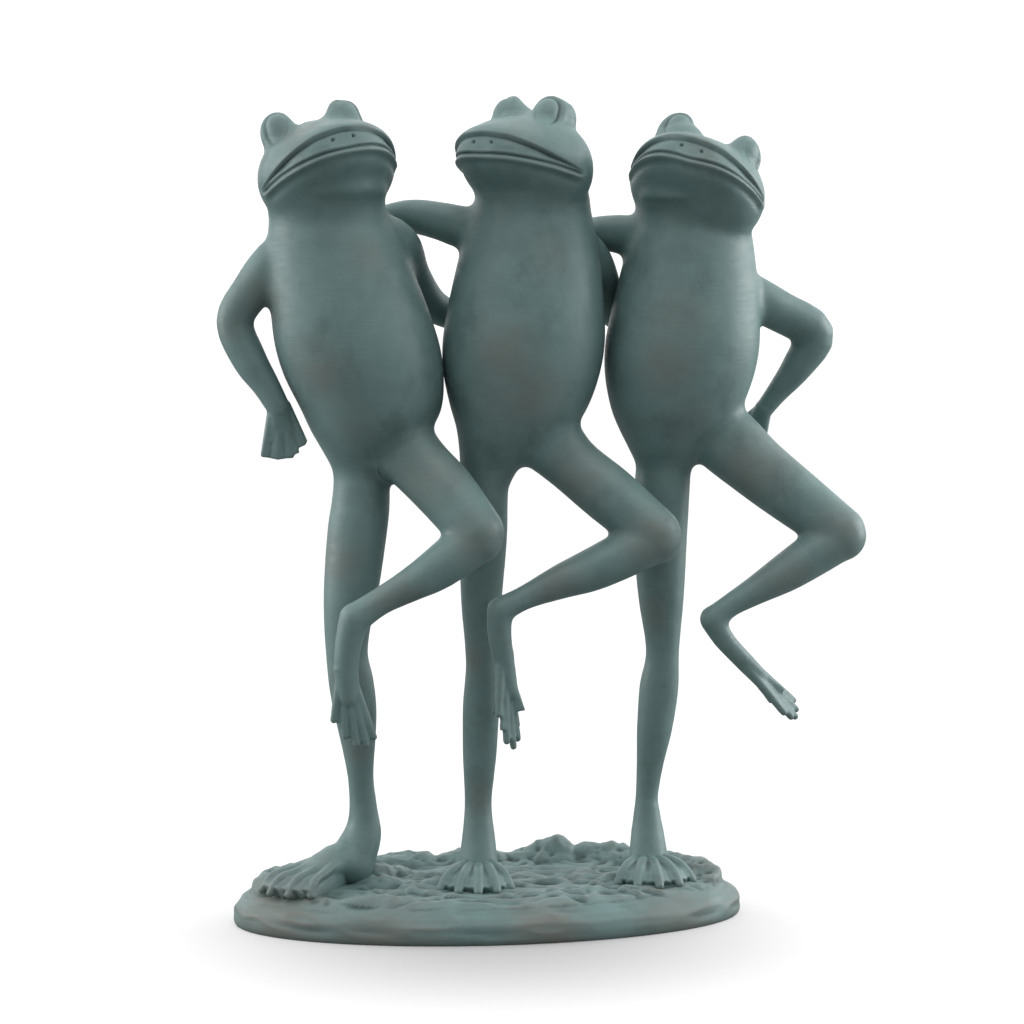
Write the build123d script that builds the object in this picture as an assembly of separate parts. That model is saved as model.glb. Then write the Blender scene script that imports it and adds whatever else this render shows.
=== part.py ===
from build123d import *
import math
import os

# Three frogs arm in arm, each on one leg, welded up from aluminium castings and
# screwed to an oval mud base. Millimetres, +Z up, the frogs face -Y.
# The origin is the middle of the flat underside of the base.

# Base casting
base_length = 254.0
base_width = 128.0
base_height = 18.0
base_wall = 5.0
boss_radius = 8.0
boss_drop = 4.0
boss_root = 1.0

# Fasteners, one M5 screw and washer under each standing foot
screw_radius = 2.45
screw_hole_radius = 2.75
tapped_radius = 2.5
screw_grip = 9.0
screw_head_radius = 4.4
screw_head_height = 3.2
hex_socket = 3.0
hex_depth = 2.0
washer_radius = 5.5
washer_thickness = 1.0

# How far the outside of the base draws in, level by level, and its hollow likewise
rim_profile = [
    (0.0, 1.2),
    (2.5, 0.3),
    (5.5, 0.0),
    (9.5, 0.9),
    (13.0, 3.4),
    (16.0, 8.0),
    (base_height, 14.0),
]
hollow_profile = [
    (-1.0, base_wall),
    (7.8, base_wall + 1.5),
    (base_height - base_wall, base_wall + 9.0),
]

# Body proportions shared by the three frogs
hip_seam = 214.0
ankle_seam = 63.0
pelvis_top = 252.0
body_depth = 0.88
neck_depth = 0.92
belly_push = 3.0
sole_level = base_height
toe_radius = 2.5
toe_root = 3.4
finger_radius = 2.2
finger_root = 3.0
web_thickness = 2.4
knuckle = 0.3
knee_swell = 0.6

# Share of the way up from hip seam to neck seam, and share of the belly's half-width
belly_profile = [
    (0.066, 0.37),
    (0.132, 0.53),
    (0.207, 0.73),
    (0.283, 0.86),
    (0.396, 0.97),
    (0.509, 1.00),
    (0.641, 0.95),
    (0.773, 0.87),
    (0.868, 0.80),
    (0.943, 0.73),
]

# The head along its own length: how far back, half-width, half-height, lift
head_profile = [
    (-35.0, 8.5, 5.5, 4.0),
    (-31.0, 16.0, 9.5, 3.5),
    (-22.0, 24.0, 14.0, 3.0),
    (-8.0, 31.5, 20.5, 3.0),
    (6.0, 34.5, 25.5, 1.5),
    (19.0, 30.0, 23.0, -1.0),
    (30.0, 15.0, 13.0, -5.0),
]
eye_back = 5.0
eye_lift = 22.5
eye_mound = (9.0, 10.5, 13.0)
eyeball_radius = 6.6
eyeball_offset = (2.8, -3.2, 3.6)
nostril = (5.5, -29.5, 10.6)
nostril_radius = 1.1
mouth_gap = 1.1
mouth_depth = 2.2
throat_swell = 1.0

# Each frog: x and depth of its line, half-width of belly, neck, head pose
frogs = {
    "left": {
        "depth": 5.0,
        "hip": (-62.2, 13.7),
        "pelvis": -57.0,
        "neck": (-79.0, 354.0, 28.6),
        "belly": 40.1,
        "head": (-77.5, -6.0, 368.5),
        "turn": (9.0, 18.0, -12.0),
        "eyes": (-1.3, 16.4),
        "brow": (13.0, 10.0, 27.0),
    },
    "middle": {
        "depth": 5.0,
        "hip": (-1.2, 11.8),
        "pelvis": 15.5,
        "neck": (22.5, 358.0, 27.3),
        "belly": 39.9,
        "head": (15.5, -3.0, 371.0),
        "turn": (-43.0, 10.0, 1.0),
        "eyes": (0.4, 13.4),
        "brow": (11.0, 9.0, 24.5),
    },
    "right": {
        "depth": 8.0,
        "hip": (88.2, 13.8),
        "pelvis": 94.5,
        "neck": (103.4, 353.0, 28.0),
        "belly": 38.3,
        "head": (101.5, -3.0, 361.0),
        "turn": (-18.0, 24.0, 19.0),
        "eyes": (-1.0, 16.0),
        "brow": (10.0, 9.0, 22.0),
    },
}

# Limbs, each a chain of stations from root to tip: x, y, z, radius
standing_legs = {
    "left": [
        (-61.9, 5.0, hip_seam + 4.0, 13.8),
        (-62.6, 4.5, 206.0, 14.4),
        (-64.5, 4.0, 192.0, 14.7),
        (-67.6, 3.0, 165.0, 13.6),
        (-69.6, 2.5, 147.0, 11.6),
        (-69.8, 2.5, 132.0, 10.4),
        (-67.8, 3.5, 119.0, 11.2),
        (-65.8, 4.5, 105.0, 10.8),
        (-64.5, 5.0, 92.0, 9.2),
        (-63.7, 5.0, 80.0, 7.5),
        (-63.0, 5.0, 69.0, 6.5),
        (-62.2, 5.0, ankle_seam - 4.0, 6.3),
    ],
    "middle": [
        (-1.0, 5.0, hip_seam + 4.0, 11.8),
        (-1.6, 4.5, 206.0, 11.7),
        (-2.2, 4.0, 188.0, 11.9),
        (-3.2, 3.0, 158.0, 10.2),
        (-3.0, 2.0, 128.0, 8.2),
        (-3.3, 4.0, 106.0, 9.2),
        (-3.8, 5.0, 84.0, 8.7),
        (-4.2, 5.0, 72.0, 7.9),
        (-4.6, 5.0, ankle_seam - 4.0, 6.9),
    ],
    "right": [
        (88.3, 8.0, hip_seam + 4.0, 13.9),
        (87.6, 7.5, 204.0, 13.8),
        (87.0, 7.0, 186.0, 13.4),
        (87.4, 6.0, 158.0, 11.5),
        (88.1, 5.0, 131.0, 8.4),
        (86.6, 6.0, 113.0, 9.9),
        (84.4, 6.0, 92.0, 9.0),
        (82.4, 6.0, 76.0, 7.1),
        (80.7, 6.0, ankle_seam - 4.0, 5.7),
    ],
}
thighs = {
    "left": [
        (-60.0, 4.0, 253.0, 14.0),
        (-47.0, -1.0, 240.0, 17.3),
        (-34.5, -8.0, 226.0, 15.4),
        (-22.0, -16.0, 212.5, 15.0),
        (-9.0, -27.0, 195.0, 13.2),
    ],
    "middle": [
        (11.0, 4.0, 254.0, 14.0),
        (24.5, 0.0, 243.0, 18.0),
        (40.0, -6.0, 226.5, 14.2),
        (58.0, -14.0, 211.0, 14.4),
        (78.5, -24.0, 193.0, 13.0),
    ],
    "right": [
        (103.0, 5.0, 250.0, 14.0),
        (117.0, 1.0, 238.0, 17.2),
        (132.5, -6.0, 223.5, 15.7),
        (149.0, -13.0, 210.0, 14.6),
        (171.0, -24.0, 192.5, 12.6),
    ],
}
shins = {
    "left": [
        (-9.0, -27.0, 192.5, 12.2),
        (-28.0, -29.0, 178.5, 10.6),
        (-43.0, -30.0, 170.0, 8.2),
        (-57.0, -30.0, 162.5, 6.8),
        (-69.0, -30.0, 154.5, 7.6),
    ],
    "middle": [
        (79.0, -24.0, 190.5, 12.2),
        (50.0, -25.5, 177.0, 10.8),
        (32.0, -26.5, 170.5, 8.6),
        (14.0, -27.0, 163.0, 6.0),
        (2.0, -27.0, 157.0, 6.6),
    ],
    "right": [
        (171.5, -24.0, 190.5, 12.0),
        (146.0, -26.0, 174.5, 10.0),
        (129.0, -27.0, 165.0, 7.4),
        (115.0, -27.0, 157.0, 5.8),
        (107.0, -27.0, 150.5, 6.6),
    ],
}
raised_feet = {
    "left": [
        (-69.0, -30.0, 155.0, 7.6),
        (-72.0, -29.0, 142.0, 6.6),
        (-73.0, -28.0, 128.0, 6.0),
        (-72.0, -27.0, 116.0, 5.0),
    ],
    "middle": [
        (2.0, -27.0, 157.5, 6.6),
        (1.8, -26.0, 146.0, 6.0),
        (4.0, -25.0, 132.0, 5.4),
        (7.0, -24.0, 117.0, 4.6),
    ],
    "right": [
        (107.0, -27.0, 151.0, 6.6),
        (112.0, -26.5, 141.5, 5.4),
        (122.0, -25.0, 130.5, 4.8),
        (131.0, -24.0, 122.0, 4.2),
    ],
}
raised_toes = {
    "left": [
        (-79.0, -26.0, 105.0),
        (-73.5, -26.5, 97.0),
        (-68.0, -26.5, 93.0),
        (-63.2, -26.0, 92.5),
        (-59.5, -25.0, 96.0),
    ],
    "middle": [
        (0.5, -31.5, 108.0),
        (5.0, -28.5, 93.0),
        (8.8, -23.5, 90.0),
        (11.6, -18.5, 94.0),
        (11.6, -14.0, 102.0),
    ],
    "right": [
        (140.5, -29.0, 104.5),
        (147.0, -26.5, 101.5),
        (150.0, -23.0, 101.0),
        (151.0, -19.0, 105.0),
        (149.0, -15.0, 110.0),
    ],
}

# Standing feet: ankle column, heel, the top of the instep and the five toe tips
standing_feet = {
    "left": {
        "ankle": [
            (-62.3, 5.0, ankle_seam + 4.0, 6.2),
            (-61.8, 5.5, 54.0, 7.5),
            (-62.4, 5.0, 42.0, 10.0),
            (-68.5, 1.5, 29.0, 11.8),
        ],
        "heel": (-66.5, 5.5, 8.0),
        "instep": (-77.0, -3.0, 32.0, 8.8),
        "toes": [(-110.0, -6.0), (-113.5, -14.0), (-110.0, -22.0), (-101.5, -27.5), (-91.0, -30.0)],
        "toe": 5.5,
    },
    "middle": {
        "ankle": [
            (-4.6, 5.0, ankle_seam + 4.0, 7.0),
            (-4.7, 4.5, 50.0, 7.2),
            (-4.8, 2.5, 38.0, 8.6),
            (-5.5, -1.0, 26.0, 10.0),
        ],
        "heel": (-4.8, 5.0, 9.0),
        "instep": (-6.0, -6.0, 24.0, 5.4),
        "toes": [(-27.0, -23.0), (-19.0, -30.0), (-9.5, -32.5), (0.0, -30.5), (7.5, -24.0)],
        "toe": 3.2,
    },
    "right": {
        "ankle": [
            (80.9, 6.0, ankle_seam + 4.0, 5.9),
            (80.5, 5.5, 51.0, 6.5),
            (80.6, 3.5, 38.0, 8.6),
            (80.5, 0.0, 26.0, 10.0),
        ],
        "heel": (80.5, 6.0, 9.0),
        "instep": (80.5, -5.0, 24.0, 5.4),
        "toes": [(61.5, -21.0), (70.0, -28.0), (80.5, -31.0), (91.0, -27.5), (99.0, -19.5)],
        "toe": 3.2,
    },
}

# Arms, named by frog and by the side of the picture that they are on
arms = {
    "left_frog_outer_arm": {
        "chain": [
            (-88.0, 5.0, 337.0, 10.0),
            (-103.0, 5.0, 325.0, 11.4),
            (-115.0, 6.0, 311.0, 9.9),
            (-123.2, 7.5, 296.0, 9.2),
            (-116.5, 4.5, 278.0, 8.6),
            (-108.5, 0.5, 265.0, 6.8),
            (-102.5, -2.0, 254.0, 5.8),
        ],
        "fingers": [(-110.5, -3.5, 232.0), (-103.5, -5.0, 230.8), (-97.0, -5.0, 231.5), (-90.5, -4.0, 238.5)],
        "reach": 0.92,
    },
    "left_frog_inner_arm": {
        "chain": [
            (-58.0, 9.0, 341.0, 10.0),
            (-43.5, 12.0, 333.0, 11.3),
            (-34.5, 24.0, 318.0, 8.8),
            (-24.0, 35.5, 303.0, 8.4),
            (-10.0, 39.5, 296.0, 7.0),
            (3.0, 40.5, 293.0, 5.4),
        ],
        "fingers": [(20.0, 37.6, 302.0), (24.5, 37.6, 295.0), (23.5, 38.0, 287.5), (16.5, 38.4, 281.0)],
        "reach": 0.7,
    },
    "middle_frog_left_arm": {
        "chain": [
            (7.0, 8.0, 341.0, 10.0),
            (-7.0, 12.0, 340.5, 10.8),
            (-22.0, 22.0, 344.5, 9.4),
            (-35.0, 31.5, 346.5, 8.4),
            (-50.0, 36.0, 344.0, 7.0),
            (-62.0, 37.0, 340.0, 5.4),
        ],
        "fingers": [(-79.0, 31.4, 346.0), (-84.5, 31.8, 338.0), (-82.5, 33.4, 330.0), (-75.5, 35.2, 324.0)],
        "reach": 0.7,
    },
    "middle_frog_right_arm": {
        "chain": [
            (38.0, 8.0, 337.0, 10.0),
            (51.0, 12.0, 327.0, 10.6),
            (60.0, 22.0, 314.0, 8.8),
            (66.0, 35.5, 300.0, 7.8),
            (76.0, 41.0, 294.0, 6.6),
            (88.0, 42.8, 292.0, 5.2),
        ],
        "fingers": [(105.0, 40.2, 300.0), (109.5, 40.0, 293.0), (108.0, 40.6, 285.5), (101.0, 41.4, 279.5)],
        "reach": 0.7,
    },
    "right_frog_inner_arm": {
        "chain": [
            (90.0, 11.0, 337.0, 10.0),
            (77.0, 14.0, 336.5, 10.6),
            (64.0, 24.0, 338.0, 9.2),
            (54.0, 32.5, 337.0, 8.0),
            (42.0, 36.5, 332.0, 6.6),
            (31.0, 38.0, 327.0, 5.4),
        ],
        "fingers": [(13.5, 33.4, 331.0), (9.0, 33.6, 323.5), (11.0, 34.8, 316.5), (17.5, 36.4, 311.0)],
        "reach": 0.7,
    },
    "right_frog_outer_arm": {
        "chain": [
            (116.0, 9.0, 314.0, 12.0),
            (131.0, 10.0, 307.5, 11.6),
            (148.5, 12.5, 299.0, 10.4),
            (166.5, 16.0, 288.0, 10.2),
            (158.5, 18.0, 271.5, 8.0),
            (148.5, 20.5, 258.0, 5.6),
            (142.0, 22.5, 249.0, 4.8),
        ],
        "fingers": [(142.0, 23.0, 233.0), (136.5, 26.5, 229.0), (130.5, 30.5, 231.0), (126.0, 34.0, 237.0)],
        "reach": 0.8,
    },
}

# Mud on the base: x, y, half-length, half-width, height, turn in degrees
mud_ridges = [
    (-30.0, 10.0, 18.0, 5.0, 3.0, 35.0),
    (39.0, 44.0, 13.0, 9.0, 13.2, -20.0),
    (64.0, 41.0, 24.0, 9.0, 9.6, -13.0),
    (50.0, 6.0, 16.0, 6.0, 3.4, 62.0),
    (106.0, -6.0, 13.0, 6.0, 3.2, -70.0),
    (-58.0, -40.0, 20.0, 5.0, 3.0, -14.0),
    (34.0, -36.0, 22.0, 5.5, 3.4, 14.0),
    (-42.0, -14.0, 12.0, 5.0, 3.2, 80.0),
    (30.0, -8.0, 12.0, 5.0, 3.0, -40.0),
]
mud_sink = 0.4
bank_lumps = 9
bank_sweep = (12.0, 170.0)
bank_size = (21.0, 9.5, 7.2)
bank_inset = 19.0


def ring(here, along, radius, flat=1.0):
    """A round or flattened section across a limb, its flat side kept towards Y."""
    across = Vector(0, 1, 0) - along * along.dot(Vector(0, 1, 0))
    return Plane(origin=here, x_dir=across, z_dir=along) * Ellipse(radius * flat, radius)


def limb(chain, flat=1.0):
    """A tapering limb lofted through its stations, each square to the way it runs."""
    at = [Vector(x, y, z) for x, y, z, radius in chain]
    last = len(chain) - 1
    rings = []
    for i, (x, y, z, radius) in enumerate(chain):
        along = (at[min(i + 1, last)] - at[max(i - 1, 0)]).normalized()
        rings.append(ring(at[i], along, radius, flat))
    return loft(rings)


def digit(root, tip, thick, thin):
    """A finger or toe: a tapered rod that ends in a round tip."""
    start = Vector(*root)
    end = Vector(*tip)
    along = (end - start).normalized()
    rod = loft([ring(start, along, thick), ring(end, along, thin)])
    return rod + Pos(end) * Sphere(thin)


def webbed(root, palm, tips, thick, thin, reach):
    """Digits that fan out from a round palm, joined by a web of skin that stops short of the tips."""
    start = Vector(*root)
    fan = Pos(start) * Sphere(palm)
    for tip in tips:
        fan += digit(root, tip, thick, thin)
    edge = [start + (Vector(*tip) - start) * reach for tip in tips]
    for a, b in zip(edge, edge[1:]):
        face = Face(Wire.make_polygon([start, a, b]))
        fan += extrude(face, web_thickness / 2, dir=face.normal_at(), both=True)
    return fan


def half_space(level, below=True):
    """A big block that keeps what lies below, or above, a level."""
    size = 1000.0
    return Pos(0, 0, level - size / 2 if below else level + size / 2) * Box(size, size, size)


def neck_ring(frog):
    """The outline that body and head share at the neck seam."""
    neck_x, neck_z, neck_radius = frog["neck"]
    return Pos(neck_x, frog["depth"] - 2, neck_z) * Ellipse(neck_radius, neck_radius * neck_depth)


def body(frog):
    """The torso from hip seam to neck seam: a pear that leans over the standing leg."""
    hip_x, hip_radius = frog["hip"]
    neck_x, neck_z, neck_radius = frog["neck"]
    rise = neck_z - hip_seam
    spine = neck_z - pelvis_top
    sections = [Pos(hip_x, frog["depth"], hip_seam) * Ellipse(hip_radius, hip_radius)]
    for share, width in belly_profile:
        z = hip_seam + share * rise
        if z >= pelvis_top:
            x = frog["pelvis"] + (neck_x - frog["pelvis"]) * (z - pelvis_top) / spine
        else:
            shift = math.sin(math.pi / 2 * (z - hip_seam) / (pelvis_top - hip_seam)) ** 2
            x = hip_x + (frog["pelvis"] - hip_x) * shift
        y = frog["depth"] - belly_push * math.sin(math.pi * share)
        radius = frog["belly"] * width
        sections.append(Pos(x, y, z) * Ellipse(radius, radius * body_depth))
    sections.append(neck_ring(frog))
    return loft(sections)


def skull(frog):
    """The head in its own frame: snout towards -Y, the mouth on the XY plane."""
    slices = []
    for y, w, h, lift in head_profile:
        slices.append(Plane(origin=(0, y, lift), x_dir=(1, 0, 0), z_dir=(0, 1, 0)) * Ellipse(w, h))
    shape = loft(slices)
    shift, spread = frog["eyes"]
    out, forward, up = eyeball_offset
    for side in (-1, 1):
        x = shift + side * spread
        shape += Pos(x, eye_back, eye_lift) * scale(Sphere(1), by=eye_mound)
        shape += Pos(x + side * out, eye_back + forward, eye_lift + up) * Sphere(eyeball_radius)
    wide, long, high = frog["brow"]
    return shape + Pos(shift, eye_back, 0) * scale(Sphere(1), by=(wide, long, high + 2.0))


def mouth_cut():
    """A groove round the snout between the lips, from corner to corner."""
    inner = [(w - mouth_depth, y) for y, w, h, lift in head_profile[1:5]]
    right = [(x, y + mouth_depth) for x, y in inner]
    left = [(-x, y) for x, y in reversed(right)]
    tip = (0.0, head_profile[0][0] + mouth_depth)
    tongue = make_face(Spline(left + [tip] + right) + Line(right[-1], left[0]))
    back = head_profile[4][0]
    sheet = Pos(0, back - 30, 0) * Rectangle(90, 60) - tongue
    return extrude(sheet, mouth_gap / 2, both=True)


def head(frog):
    """Skull, throat and neck down to the neck seam."""
    turn, tilt, roll = frog["turn"]
    place = Pos(*frog["head"]) * Rot(0, 0, turn) * Rot(-tilt, 0, 0) * Rot(0, roll, 0)
    neck_x, neck_z, neck_radius = frog["neck"]
    hx, hy, hz = frog["head"]
    middle = ((neck_x + hx) / 2, hy + 5, (neck_z + hz) / 2 - 1)
    throat = loft(
        [
            neck_ring(frog),
            Pos(*middle) * Ellipse(neck_radius + throat_swell, neck_radius),
            Pos(hx, hy + 4, hz + 4) * Ellipse(neck_radius - 2.0, neck_radius - 3.0),
        ]
    )
    whole = throat + place * skull(frog) - place * mouth_cut()
    for side in (-1, 1):
        whole -= place * Pos(side * nostril[0], nostril[1], nostril[2]) * Sphere(nostril_radius)
    return whole & half_space(neck_z, below=False)


def raised_leg(name):
    """Thigh, knee, shin and webbed foot of the lifted leg, in one casting."""
    knee = shins[name][0]
    ankle = raised_feet[name][0]
    leg = limb(thighs[name]) + limb(shins[name])
    leg += Pos(*knee[:3]) * Sphere(knee[3] + knee_swell)
    leg += limb(raised_feet[name]) + Pos(*ankle[:3]) * Sphere(ankle[3])
    x, y, z, radius = raised_feet[name][-2]
    return leg + webbed((x, y, z), radius + knuckle, raised_toes[name], toe_root, toe_radius, 0.7)


def standing_foot(name):
    """Ankle column, heel and five spread toes, flat under the sole, tapped for its screw."""
    plan = standing_feet[name]
    foot = limb(plan["ankle"])
    heel_x, heel_y, heel_radius = plan["heel"]
    foot += Pos(heel_x, heel_y, sole_level + heel_radius * 0.6) * Sphere(heel_radius)
    ankle_x, ankle_y, ankle_z, ankle_radius = plan["ankle"][-1]
    foot += Pos(ankle_x, ankle_y, ankle_z) * Sphere(ankle_radius + knuckle)
    in_x, in_y, in_z, thick = plan["instep"]
    toe = plan["toe"]
    tips = [(x, y, sole_level + toe * 0.8) for x, y in plan["toes"]]
    foot += webbed((in_x, in_y, in_z), thick + knuckle, tips, thick, toe, 0.85)
    foot &= half_space(sole_level, below=False)
    foot &= half_space(ankle_seam)
    x, y = screw_spot(name)
    return foot - Pos(x, y, sole_level) * Cylinder(tapped_radius, 2 * screw_grip + 2.0)


def screw_spot(name):
    """The screw stands under the ankle, halfway from heel to the foot of the column."""
    heel_x, heel_y, heel_radius = standing_feet[name]["heel"]
    ankle_x, ankle_y, ankle_z, ankle_radius = standing_feet[name]["ankle"][-1]
    return (heel_x + ankle_x) / 2, (heel_y + ankle_y) / 2


def mud_bank():
    """Lumps of mud banked up along the back of the base, highest in the middle."""
    lumps = []
    start, end = bank_sweep
    for i in range(bank_lumps):
        share = i / (bank_lumps - 1)
        angle = math.radians(start + (end - start) * share)
        x = (base_length / 2 - bank_inset) * math.cos(angle)
        y = (base_width / 2 - bank_inset) * math.sin(angle)
        along = math.degrees(math.atan2(base_width * math.cos(angle), -base_length * math.sin(angle)))
        long, wide, high = bank_size
        lumps.append((x, y, long, wide + math.cos(1.7 * i), high + 0.8 * math.sin(2.4 * i), along))
    return lumps


def base():
    """Oval mud base with a rolled rim, open underneath, with a boss for each foot's screw."""
    a = base_length / 2
    b = base_width / 2
    casting = loft([Pos(0, 0, z) * Ellipse(a - inset, b - inset) for z, inset in rim_profile])
    for x, y, long, wide, high, turn in mud_ridges + mud_bank():
        lump = Rot(0, 0, turn) * scale(Sphere(1), by=(long, wide, high))
        casting += Pos(x, y, base_height - mud_sink) * lump
    casting -= loft([Pos(0, 0, z) * Ellipse(a - inset, b - inset) for z, inset in hollow_profile])
    ceiling = base_height - base_wall
    for name in frogs:
        x, y = screw_spot(name)
        boss = Cylinder(boss_radius, boss_drop + boss_root)
        casting += Pos(x, y, ceiling + (boss_root - boss_drop) / 2) * boss
        casting -= Pos(x, y, 0) * Cylinder(screw_hole_radius, 3 * base_height)
    return casting


def screw(x, y):
    """Socket-head screw: its head under the washer, its point in the foot."""
    seat = base_height - base_wall - boss_drop - washer_thickness
    shank = sole_level + screw_grip - seat
    body_part = Pos(x, y, seat + shank / 2) * Cylinder(screw_radius, shank)
    cap = Pos(x, y, seat - screw_head_height / 2) * Cylinder(screw_head_radius, screw_head_height)
    hexagon = extrude(Pos(x, y, seat - screw_head_height) * RegularPolygon(hex_socket, 6), hex_depth)
    return body_part + cap - hexagon


def washer(x, y):
    """Flat washer between the screw head and the boss."""
    z = base_height - base_wall - boss_drop - washer_thickness / 2
    disc = Cylinder(washer_radius, washer_thickness) - Cylinder(screw_hole_radius, washer_thickness)
    return Pos(x, y, z) * disc


def save(shape, name):
    """One file for each piece, named for it."""
    shape.label = name
    export_step(shape, os.path.join("parts", name + ".step"))
    print(name, len(shape.solids()), round(shape.volume))


def main():
    os.makedirs("parts", exist_ok=True)
    bodies = {name: body(frog) for name, frog in frogs.items()}
    heads = {name: head(frog) for name, frog in frogs.items()}
    feet = {name: standing_foot(name) for name in frogs}
    casting = base()
    for foot in feet.values():
        casting -= foot
    save(casting, "base")
    for name, frog in frogs.items():
        save(bodies[name], name + "_frog_body")
        save(heads[name], name + "_frog_head")
        leg = limb(standing_legs[name]) & half_space(hip_seam) & half_space(ankle_seam, below=False)
        save(leg, name + "_frog_standing_leg")
        save(feet[name], name + "_frog_standing_foot")
        save(raised_leg(name) - bodies[name], name + "_frog_raised_leg")
    for arm_name, arm in arms.items():
        x, y, z, wrist = arm["chain"][-1]
        hand = webbed((x, y, z), wrist + knuckle, arm["fingers"], finger_root, finger_radius, arm["reach"])
        shape = limb(arm["chain"]) + hand
        for torso in bodies.values():
            shape -= torso
        save(shape, arm_name)
    spots = [screw_spot(name) for name in frogs]
    save(Compound(children=[screw(x, y) for x, y in spots]), "foot_screws")
    save(Compound(children=[washer(x, y) for x, y in spots]), "foot_washers")


main()
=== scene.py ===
import math
import bpy
import bmesh
import numpy as np
from mathutils import Matrix, Vector, noise


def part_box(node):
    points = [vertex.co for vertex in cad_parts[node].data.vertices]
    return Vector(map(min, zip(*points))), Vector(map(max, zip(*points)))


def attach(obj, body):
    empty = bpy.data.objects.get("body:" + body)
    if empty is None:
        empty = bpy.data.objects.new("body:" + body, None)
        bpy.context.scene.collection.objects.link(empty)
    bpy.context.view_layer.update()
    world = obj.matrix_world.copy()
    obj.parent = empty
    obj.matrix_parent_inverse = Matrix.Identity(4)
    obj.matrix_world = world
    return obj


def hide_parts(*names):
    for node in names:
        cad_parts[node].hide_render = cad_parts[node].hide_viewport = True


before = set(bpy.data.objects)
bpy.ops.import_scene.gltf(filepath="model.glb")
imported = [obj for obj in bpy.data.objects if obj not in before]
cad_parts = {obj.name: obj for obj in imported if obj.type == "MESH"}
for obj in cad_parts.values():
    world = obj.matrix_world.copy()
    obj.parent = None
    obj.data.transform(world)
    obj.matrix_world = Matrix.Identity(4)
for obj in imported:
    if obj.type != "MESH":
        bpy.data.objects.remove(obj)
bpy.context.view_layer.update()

# Shapes are worked out in millimetres, in the part's own frame, and brought to metres at the end
mm = 0.001
upward = Vector((0, 0, 1))
backward = Vector((0, 1, 0))
noise.seed_set(1)  # keeps the mud's folds the same in every run


# Building solids from rings and balls

roundness = {"tube": 22, "digit": 14, "web": 16, "palm": 24, "body": 64, "rim": 128, "boss": 40}  # sides
webLap = 2.0  # how far a solid web reaches into its digits


def meshOf(bm, name):
    mesh = bpy.data.meshes.new(name)
    bm.to_mesh(mesh)
    bm.free()
    return mesh


def addObject(name, data):
    made = bpy.data.objects.new(name, data)
    bpy.context.scene.collection.objects.link(made)
    return made


def joinInto(whole, part):
    mesh = meshOf(part, "part")
    whole.from_mesh(mesh)
    bpy.data.meshes.remove(mesh)


def through(stations, fine):
    # a smooth line through stations of any number of values, fine steps between each two
    at = [np.array(s, float) for s in stations]
    line = []
    for i in range(len(at) - 1):
        a, b, c, d = at[max(i - 1, 0)], at[i], at[i + 1], at[min(i + 2, len(at) - 1)]
        for k in range(fine):
            t = k / fine
            bend = (2 * a - 5 * b + 4 * c - d) * t * t + (3 * b - a - 3 * c + d) * t ** 3
            line.append(0.5 * (2 * b + (c - a) * t + bend))
    line.append(at[-1])
    return line


def ringAt(bm, at, along, wide, deep, level, sides):
    across = level - along * along.dot(level)
    across.normalize()
    side = across.cross(along)
    turned = Matrix((side * wide, across * deep, along)).transposed().to_4x4()
    made = bmesh.ops.create_circle(bm, cap_ends=False, segments=sides, radius=1.0,
                                   matrix=Matrix.Translation(at) @ turned)
    return list({edge for vert in made["verts"] for edge in vert.link_edges})


def ball(bm, at, size, turn=Matrix.Identity(3)):
    placed = Matrix.Translation(at) @ turn.to_4x4() @ Matrix.Diagonal((*size, 1))
    bmesh.ops.create_uvsphere(bm, u_segments=24, v_segments=16, radius=1.0, matrix=placed)


def closeRings(bm, rings):
    for a, b in zip(rings, rings[1:]):
        bmesh.ops.bridge_loops(bm, edges=a + b)
    for end in (rings[0], rings[-1]):
        bmesh.ops.contextual_create(bm, geom=end)


def tube(stations, fine=4, sides=roundness["tube"]):
    # a limb through x, y, z, radius, with round ends
    bm = bmesh.new()
    line = through(stations, fine)
    rings = []
    for i, s in enumerate(line):
        ahead = Vector(line[min(i + 1, len(line) - 1)][:3] - line[max(i - 1, 0)][:3])
        rings.append(ringAt(bm, Vector(s[:3]), ahead.normalized(), s[3], s[3], backward, sides))
    closeRings(bm, rings)
    for s in (line[0], line[-1]):
        ball(bm, Vector(s[:3]), (s[3],) * 3)
    return bm


def webBetween(one, two, thick, level, ground=None):
    # skin stretched between two digits, each a list of points from root to tip; solid down to a ground
    bm = bmesh.new()
    rings = []
    last = len(one) - 1
    for i in range(last + 1):
        a, b = Vector(one[i]), Vector(two[i])
        ahead = Vector(one[min(i + 1, last)]) + Vector(two[min(i + 1, last)])
        ahead -= Vector(one[max(i - 1, 0)]) + Vector(two[max(i - 1, 0)])
        ahead.normalize()
        span = b - a
        normal = span.cross(ahead)
        if normal.length < 1e-6:
            normal = Vector(level)
        half = max(span.length / 2, thick)
        middle, deep = (a + b) / 2, thick
        if ground is not None:
            half += webLap
            deep = max((middle.z + thick - ground) / 2, thick)
            middle.z = middle.z + thick - deep
        rings.append(ringAt(bm, middle, ahead, half, deep, normal.normalized(), roundness["web"]))
    closeRings(bm, rings)
    return bm


# Remeshing, and the skin as arrays of points that can be smoothed and carved

def remesh(bm, voxel):
    mesh = meshOf(bm, "skin")
    piece = addObject("skin", mesh)
    grid = piece.modifiers.new("grid", "REMESH")
    grid.mode = "VOXEL"
    grid.voxel_size = voxel
    grid.use_smooth_shade = True
    made = bpy.data.meshes.new_from_object(piece.evaluated_get(bpy.context.evaluated_depsgraph_get()))
    bpy.data.objects.remove(piece)
    bpy.data.meshes.remove(mesh)
    return made


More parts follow.
